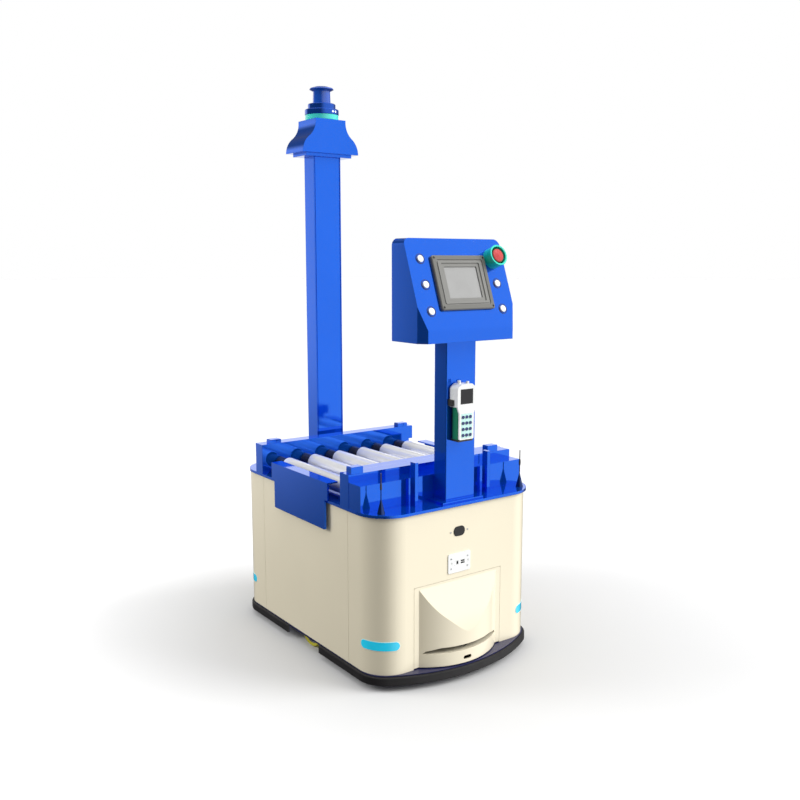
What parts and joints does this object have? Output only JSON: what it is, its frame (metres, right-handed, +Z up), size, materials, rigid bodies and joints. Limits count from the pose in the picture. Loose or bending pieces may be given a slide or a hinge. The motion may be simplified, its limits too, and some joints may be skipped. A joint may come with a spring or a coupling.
{
  "type": "autonomous mobile robot",
  "caption": "Wheeled autonomous mobile robot with a roller-conveyor deck, a control head on a front post and a scanner on a rear mast.",
  "frame": {"origin": "on the floor, under the centre of the base", "axes": "+Z up; -Y is the front, where the control head and the nose scanner are; +X is to the right as seen from the front, across the robot and along the conveyor's travel"},
  "size_m": [0.612, 0.924, 1.744],
  "materials": {
    "navy_steel": "satin navy paint",
    "frame_steel": "dark powder coat",
    "bumper_rubber": "matt black rubber",
    "cream_paint": "smooth cream powder coat",
    "blue_gloss": "high gloss blue lacquer",
    "blue_plastic": "glossy blue moulding",
    "black_gloss": "glossy black",
    "black_plastic": "matt black",
    "cyan_light": "translucent cyan lens",
    "teal_plastic": "translucent teal",
    "white_plastic": "white plastic",
    "grey_plastic": "grey plastic",
    "screen_glass": "grey display sheet",
    "red_plastic": "glossy red",
    "green_plastic": "soft green",
    "roller_steel": "bright zinc plate",
    "bright_steel": "ground steel",
    "motor_alloy": "cast alloy",
    "tyre": "yellow polyurethane",
    "caster_tyre": "grey rubber tread",
    "tinted_window": "smoked window",
    "button_white": "white push button"
  },
  "bodies": {
    "robot_body": {"base_tray": "navy_steel", "chassis_frame": "frame_steel", "bumper_rubbers": "bumper_rubber", "front_cover": "cream_paint", "rear_cover": "cream_paint", "left_side_panel": "cream_paint", "right_side_panel": "cream_paint", "nose_cover": "cream_paint", "front_lidar": "black_gloss", "corner_lights": "cyan_light", "front_sensor_window": "black_gloss", "service_port_plate": "white_plastic", "drive_units": "motor_alloy", "battery_pack": "black_plastic", "deck_plate": "blue_gloss", "roller_rails": "blue_gloss", "roller_axles": "bright_steel", "riser_box": "blue_gloss", "beam_sensors": "blue_gloss", "sensor_bars": "blue_gloss", "end_skirts": "blue_gloss", "antennas": "blue_gloss", "front_post": "blue_gloss", "head_housing": "blue_gloss", "hmi_bezel": "grey_plastic", "hmi_screen": "screen_glass", "estop_collar": "teal_plastic", "handset_holder": "black_plastic", "mast_column": "blue_gloss", "mast_hood": "blue_gloss", "scanner_ring": "teal_plastic", "scanner_body": "blue_plastic", "scanner_window": "tinted_window"},
    "right_wheel": {"right_drive_wheel": "tyre"},
    "left_wheel": {"left_drive_wheel": "tyre"},
    "caster_rear_right": {"caster_fork_rear_right": "bright_steel"},
    "caster_roll_rear_right": {"caster_wheel_rear_right": "caster_tyre"},
    "caster_rear_left": {"caster_fork_rear_left": "bright_steel"},
    "caster_roll_rear_left": {"caster_wheel_rear_left": "caster_tyre"},
    "caster_front_right": {"caster_fork_front_right": "bright_steel"},
    "caster_roll_front_right": {"caster_wheel_front_right": "caster_tyre"},
    "caster_front_left": {"caster_fork_front_left": "bright_steel"},
    "caster_roll_front_left": {"caster_wheel_front_left": "caster_tyre"},
    "conveyor_roller_1": {"roller_1": "roller_steel"},
    "conveyor_roller_2": {"roller_2": "roller_steel"},
    "conveyor_roller_3": {"roller_3": "roller_steel"},
    "conveyor_roller_4": {"roller_4": "roller_steel"},
    "conveyor_roller_5": {"roller_5": "roller_steel"},
    "conveyor_roller_6": {"roller_6": "roller_steel"},
    "button_1": {"push_button_1": "button_white"},
    "button_2": {"push_button_2": "button_white"},
    "button_3": {"push_button_3": "button_white"},
    "button_4": {"push_button_4": "button_white"},
    "button_5": {"push_button_5": "button_white"},
    "stop_stem": {"estop_stem": "black_plastic"},
    "stop_cap": {"estop_cap": "red_plastic"},
    "handset": {"handset_body": "white_plastic", "handset_grip": "green_plastic", "handset_keypad": "grey_plastic"},
    "scanner_head": {"scanner_rotor": "black_plastic"}
  },
  "joints": [
    {"name": "right_wheel_drive", "type": "hinge", "parent": "robot_body", "child": "right_wheel", "pos_m": [0.25, 0, 0.0625], "axis": [1, 0, 0], "continuous": true},
    {"name": "left_wheel_drive", "type": "hinge", "parent": "robot_body", "child": "left_wheel", "pos_m": [-0.25, 0, 0.0625], "axis": [1, 0, 0], "continuous": true},
    {"name": "caster_swivel_rear_right", "type": "hinge", "parent": "robot_body", "child": "caster_rear_right", "pos_m": [0.19, 0.298, 0.09], "axis": [0, 0, 1], "continuous": true},
    {"name": "caster_spin_rear_right", "type": "hinge", "parent": "caster_rear_right", "child": "caster_roll_rear_right", "pos_m": [0.19, 0.316, 0.03], "axis": [1, 0, 0], "continuous": true},
    {"name": "caster_swivel_rear_left", "type": "hinge", "parent": "robot_body", "child": "caster_rear_left", "pos_m": [-0.19, 0.298, 0.09], "axis": [0, 0, 1], "continuous": true},
    {"name": "caster_spin_rear_left", "type": "hinge", "parent": "caster_rear_left", "child": "caster_roll_rear_left", "pos_m": [-0.19, 0.316, 0.03], "axis": [1, 0, 0], "continuous": true},
    {"name": "caster_swivel_front_right", "type": "hinge", "parent": "robot_body", "child": "caster_front_right", "pos_m": [0.19, -0.298, 0.09], "axis": [0, 0, 1], "continuous": true},
    {"name": "caster_spin_front_right", "type": "hinge", "parent": "caster_front_right", "child": "caster_roll_front_right", "pos_m": [0.19, -0.28, 0.03], "axis": [1, 0, 0], "continuous": true},
    {"name": "caster_swivel_front_left", "type": "hinge", "parent": "robot_body", "child": "caster_front_left", "pos_m": [-0.19, -0.298, 0.09], "axis": [0, 0, 1], "continuous": true},
    {"name": "caster_spin_front_left", "type": "hinge", "parent": "caster_front_left", "child": "caster_roll_front_left", "pos_m": [-0.19, -0.28, 0.03], "axis": [1, 0, 0], "continuous": true},
    {"name": "roller_spin_1", "type": "hinge", "parent": "robot_body", "child": "conveyor_roller_1", "pos_m": [-0.235, 0.00725, 0.535], "axis": [0, 1, 0], "continuous": true},
    {"name": "roller_spin_2", "type": "hinge", "parent": "robot_body", "child": "conveyor_roller_2", "pos_m": [-0.141, 0.00725, 0.535], "axis": [0, 1, 0], "continuous": true},
    {"name": "roller_spin_3", "type": "hinge", "parent": "robot_body", "child": "conveyor_roller_3", "pos_m": [-0.047, 0.00725, 0.535], "axis": [0, 1, 0], "continuous": true},
    {"name": "roller_spin_4", "type": "hinge", "parent": "robot_body", "child": "conveyor_roller_4", "pos_m": [0.047, 0.00725, 0.535], "axis": [0, 1, 0], "continuous": true},
    {"name": "roller_spin_5", "type": "hinge", "parent": "robot_body", "child": "conveyor_roller_5", "pos_m": [0.141, 0.00725, 0.535], "axis": [0, 1, 0], "continuous": true},
    {"name": "roller_spin_6", "type": "hinge", "parent": "robot_body", "child": "conveyor_roller_6", "pos_m": [0.235, 0.00725, 0.535], "axis": [0, 1, 0], "continuous": true},
    {"name": "button_press_1", "type": "slide", "parent": "robot_body", "child": "button_1", "axis": [0, 0.9397, -0.342], "range_m": [0, 0.003], "stiffness_N_per_m": 300, "springref_m": -0.002},
    {"name": "button_press_2", "type": "slide", "parent": "robot_body", "child": "button_2", "axis": [0, 0.9397, -0.342], "range_m": [0, 0.003], "stiffness_N_per_m": 300, "springref_m": -0.002},
    {"name": "button_press_3", "type": "slide", "parent": "robot_body", "child": "button_3", "axis": [0, 0.9397, -0.342], "range_m": [0, 0.003], "stiffness_N_per_m": 300, "springref_m": -0.002},
    {"name": "button_press_4", "type": "slide", "parent": "robot_body", "child": "button_4", "axis": [0, 0.9397, -0.342], "range_m": [0, 0.003], "stiffness_N_per_m": 300, "springref_m": -0.002},
    {"name": "button_press_5", "type": "slide", "parent": "robot_body", "child": "button_5", "axis": [0, 0.9397, -0.342], "range_m": [0, 0.003], "stiffness_N_per_m": 300, "springref_m": -0.002},
    {"name": "stop_press", "type": "slide", "parent": "robot_body", "child": "stop_stem", "axis": [0, 0.9397, -0.342], "range_m": [0, 0.004]},
    {"name": "stop_twist", "type": "hinge", "parent": "stop_stem", "child": "stop_cap", "pos_m": [0.134, -0.37505, 1.19322], "axis": [0, -0.9397, 0.342], "range_deg": [-45, 0], "stiffness_Nm_per_rad": 0.05, "springref_deg": 17.19},
    {"name": "handset_lift", "type": "slide", "parent": "robot_body", "child": "handset", "axis": [0, 0, 1], "range_m": [0, 0.06]},
    {"name": "scanner_spin", "type": "hinge", "parent": "robot_body", "child": "scanner_head", "pos_m": [0, 0.34, 1.7], "axis": [0, 0, 1], "continuous": true}
  ],
  "couplings": [
    {"joint": "roller_spin_2", "follows": "roller_spin_1", "ratio": 1},
    {"joint": "roller_spin_3", "follows": "roller_spin_1", "ratio": 1},
    {"joint": "roller_spin_4", "follows": "roller_spin_1", "ratio": 1},
    {"joint": "roller_spin_5", "follows": "roller_spin_1", "ratio": 1},
    {"joint": "roller_spin_6", "follows": "roller_spin_1", "ratio": 1}
  ]
}
